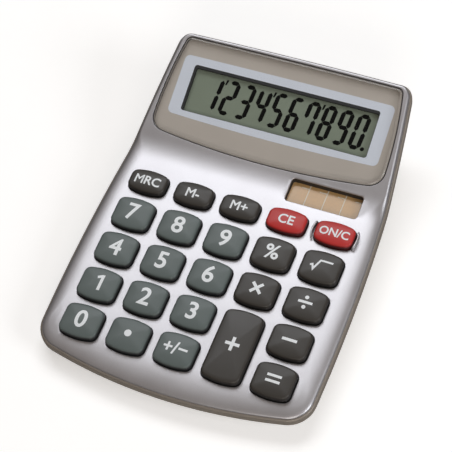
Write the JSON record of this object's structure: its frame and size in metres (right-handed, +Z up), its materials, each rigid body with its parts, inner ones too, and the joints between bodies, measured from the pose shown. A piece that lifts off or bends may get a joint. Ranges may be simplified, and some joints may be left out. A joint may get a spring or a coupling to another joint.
{
  "type": "desk-top calculator",
  "caption": "Desk-top pocket calculator with a wedge casing, tilted liquid-crystal display, solar cell and sprung keypad.",
  "frame": {"origin": "on the table under the middle of the casing, at the underside of the feet", "axes": "+X to the user's right, +Y from the front edge towards the display, +Z up"},
  "size_m": [0.1038, 0.134, 0.0329],
  "materials": {
    "faceplate": "fine metallic silver paint on moulded plastic",
    "base": "satin warm grey moulded plastic",
    "lens": "clear smoky moulded cover",
    "lcd_film": "polariser film",
    "lcd_glass": "liquid crystal cell",
    "reflector": "matt reflector film",
    "black_plastic": "moulded black plastic",
    "steel": "plated steel",
    "ribbon": "heat-seal film",
    "board": "green solder mask",
    "silicone": "translucent silicone",
    "epoxy": "black epoxy",
    "capacitor": "sleeved can",
    "solar": "amorphous silicon on glass, light brown",
    "contact_rubber": "conductive rubber",
    "spring_metal": "plated spring bronze",
    "foot_rubber": "soft black rubber",
    "key_digit": "satin grey-green",
    "key_function": "satin dark warm grey",
    "key_red": "satin red"
  },
  "bodies": {
    "case": {"upper_housing": "faceplate", "lower_housing": "base", "display_lens": "lens", "lcd_front_polariser": "lcd_film", "lcd_glass": "lcd_glass", "lcd_reflector": "reflector", "lcd_bracket": "black_plastic", "lcd_bracket_screws": "steel", "lcd_ribbon": "ribbon", "main_board": "board", "board_screws": "steel", "dome_sheet": "silicone", "controller_chip": "epoxy", "capacitor": "capacitor", "solar_cell": "solar", "solar_contact_left": "contact_rubber", "solar_contact_right": "contact_rubber", "button_cell": "steel", "battery_contact_plus": "spring_metal", "battery_contact_minus": "spring_metal", "case_screws": "steel", "foot_front_left": "foot_rubber", "foot_front_right": "foot_rubber", "foot_rear_left": "foot_rubber", "foot_rear_right": "foot_rubber"},
    "key_mrc": {"key_mrc": "key_function"},
    "key_m_minus": {"key_m_minus": "key_function"},
    "key_m_plus": {"key_m_plus": "key_function"},
    "key_ce": {"key_ce": "key_red"},
    "key_on_c": {"key_on_c": "key_red"},
    "key_7": {"key_7": "key_digit"},
    "key_8": {"key_8": "key_digit"},
    "key_9": {"key_9": "key_digit"},
    "key_percent": {"key_percent": "key_function"},
    "key_root": {"key_root": "key_function"},
    "key_4": {"key_4": "key_digit"},
    "key_5": {"key_5": "key_digit"},
    "key_6": {"key_6": "key_digit"},
    "key_multiply": {"key_multiply": "key_function"},
    "key_divide": {"key_divide": "key_function"},
    "key_1": {"key_1": "key_digit"},
    "key_2": {"key_2": "key_digit"},
    "key_3": {"key_3": "key_digit"},
    "key_plus": {"key_plus": "key_function"},
    "key_minus": {"key_minus": "key_function"},
    "key_0": {"key_0": "key_digit"},
    "key_point": {"key_point": "key_digit"},
    "key_sign": {"key_sign": "key_digit"},
    "key_equals": {"key_equals": "key_function"},
    "battery_cover": {"battery_cover": "base", "battery_cover_screw": "steel"}
  },
  "joints": [
    {"name": "press_mrc", "type": "slide", "parent": "case", "child": "key_mrc", "axis": [0, 0.0698, -0.9976], "range_m": [0, 0.0013], "stiffness_N_per_m": 400},
    {"name": "press_m_minus", "type": "slide", "parent": "case", "child": "key_m_minus", "axis": [0, 0.0698, -0.9976], "range_m": [0, 0.0013], "stiffness_N_per_m": 400},
    {"name": "press_m_plus", "type": "slide", "parent": "case", "child": "key_m_plus", "axis": [0, 0.0698, -0.9976], "range_m": [0, 0.0013], "stiffness_N_per_m": 400},
    {"name": "press_ce", "type": "slide", "parent": "case", "child": "key_ce", "axis": [0, 0.0698, -0.9976], "range_m": [0, 0.0013], "stiffness_N_per_m": 400},
    {"name": "press_on_c", "type": "slide", "parent": "case", "child": "key_on_c", "axis": [0, 0.0698, -0.9976], "range_m": [0, 0.0013], "stiffness_N_per_m": 400},
    {"name": "press_7", "type": "slide", "parent": "case", "child": "key_7", "axis": [0, 0.0698, -0.9976], "range_m": [0, 0.0013], "stiffness_N_per_m": 400},
    {"name": "press_8", "type": "slide", "parent": "case", "child": "key_8", "axis": [0, 0.0698, -0.9976], "range_m": [0, 0.0013], "stiffness_N_per_m": 400},
    {"name": "press_9", "type": "slide", "parent": "case", "child": "key_9", "axis": [0, 0.0698, -0.9976], "range_m": [0, 0.0013], "stiffness_N_per_m": 400},
    {"name": "press_percent", "type": "slide", "parent": "case", "child": "key_percent", "axis": [0, 0.0698, -0.9976], "range_m": [0, 0.0013], "stiffness_N_per_m": 400},
    {"name": "press_root", "type": "slide", "parent": "case", "child": "key_root", "axis": [0, 0.0698, -0.9976], "range_m": [0, 0.0013], "stiffness_N_per_m": 400},
    {"name": "press_4", "type": "slide", "parent": "case", "child": "key_4", "axis": [0, 0.0698, -0.9976], "range_m": [0, 0.0013], "stiffness_N_per_m": 400},
    {"name": "press_5", "type": "slide", "parent": "case", "child": "key_5", "axis": [0, 0.0698, -0.9976], "range_m": [0, 0.0013], "stiffness_N_per_m": 400},
    {"name": "press_6", "type": "slide", "parent": "case", "child": "key_6", "axis": [0, 0.0698, -0.9976], "range_m": [0, 0.0013], "stiffness_N_per_m": 400},
    {"name": "press_multiply", "type": "slide", "parent": "case", "child": "key_multiply", "axis": [0, 0.0698, -0.9976], "range_m": [0, 0.0013], "stiffness_N_per_m": 400},
    {"name": "press_divide", "type": "slide", "parent": "case", "child": "key_divide", "axis": [0, 0.0698, -0.9976], "range_m": [0, 0.0013], "stiffness_N_per_m": 400},
    {"name": "press_1", "type": "slide", "parent": "case", "child": "key_1", "axis": [0, 0.0698, -0.9976], "range_m": [0, 0.0013], "stiffness_N_per_m": 400},
    {"name": "press_2", "type": "slide", "parent": "case", "child": "key_2", "axis": [0, 0.0698, -0.9976], "range_m": [0, 0.0013], "stiffness_N_per_m": 400},
    {"name": "press_3", "type": "slide", "parent": "case", "child": "key_3", "axis": [0, 0.0698, -0.9976], "range_m": [0, 0.0013], "stiffness_N_per_m": 400},
    {"name": "press_plus", "type": "slide", "parent": "case", "child": "key_plus", "axis": [0, 0.0698, -0.9976], "range_m": [0, 0.0013], "stiffness_N_per_m": 400},
    {"name": "press_minus", "type": "slide", "parent": "case", "child": "key_minus", "axis": [0, 0.0698, -0.9976], "range_m": [0, 0.0013], "stiffness_N_per_m": 400},
    {"name": "press_0", "type": "slide", "parent": "case", "child": "key_0", "axis": [0, 0.0698, -0.9976], "range_m": [0, 0.0013], "stiffness_N_per_m": 400},
    {"name": "press_point", "type": "slide", "parent": "case", "child": "key_point", "axis": [0, 0.0698, -0.9976], "range_m": [0, 0.0013], "stiffness_N_per_m": 400},
    {"name": "press_sign", "type": "slide", "parent": "case", "child": "key_sign", "axis": [0, 0.0698, -0.9976], "range_m": [0, 0.0013], "stiffness_N_per_m": 400},
    {"name": "press_equals", "type": "slide", "parent": "case", "child": "key_equals", "axis": [0, 0.0698, -0.9976], "range_m": [0, 0.0013], "stiffness_N_per_m": 400},
    {"name": "cover_lift_off", "type": "slide", "parent": "case", "child": "battery_cover", "axis": [0, 0, -1], "range_m": [0, 0.012]}
  ]
}
